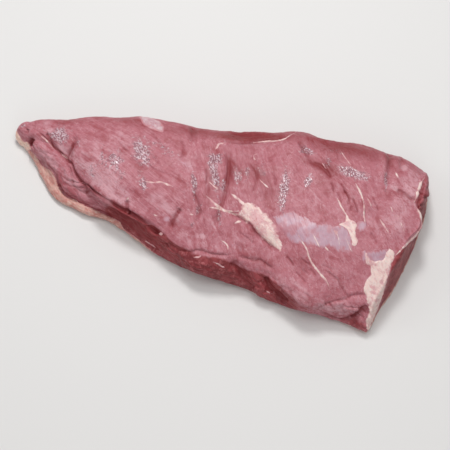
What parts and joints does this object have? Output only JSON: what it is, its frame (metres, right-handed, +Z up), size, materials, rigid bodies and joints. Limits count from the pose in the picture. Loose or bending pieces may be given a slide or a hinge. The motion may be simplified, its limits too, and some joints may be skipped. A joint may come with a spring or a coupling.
{
  "type": "raw beef brisket",
  "caption": "Raw trimmed beef brisket lying on its fat side, with a thin tip, a folded front edge and a thick cut end.",
  "frame": {"origin": "middle of the bounding box's base, on the surface the meat rests on", "axes": "+X along the length from the thin tip to the thick cut end, +Y towards the back edge, +Z up through the thickness"},
  "size_m": [0.4293, 0.194, 0.0547],
  "materials": {
    "lean_meat": "raw lean beef, dull pink-red with a moist, uneven sheen",
    "beef_fat": "cream to pink hard fat, waxy and slightly moist",
    "silverskin": "thin lilac connective film over the lean, smooth and moist"
  },
  "bodies": {
    "root": {"brisket": "lean_meat"}
  },
  "joints": []
}
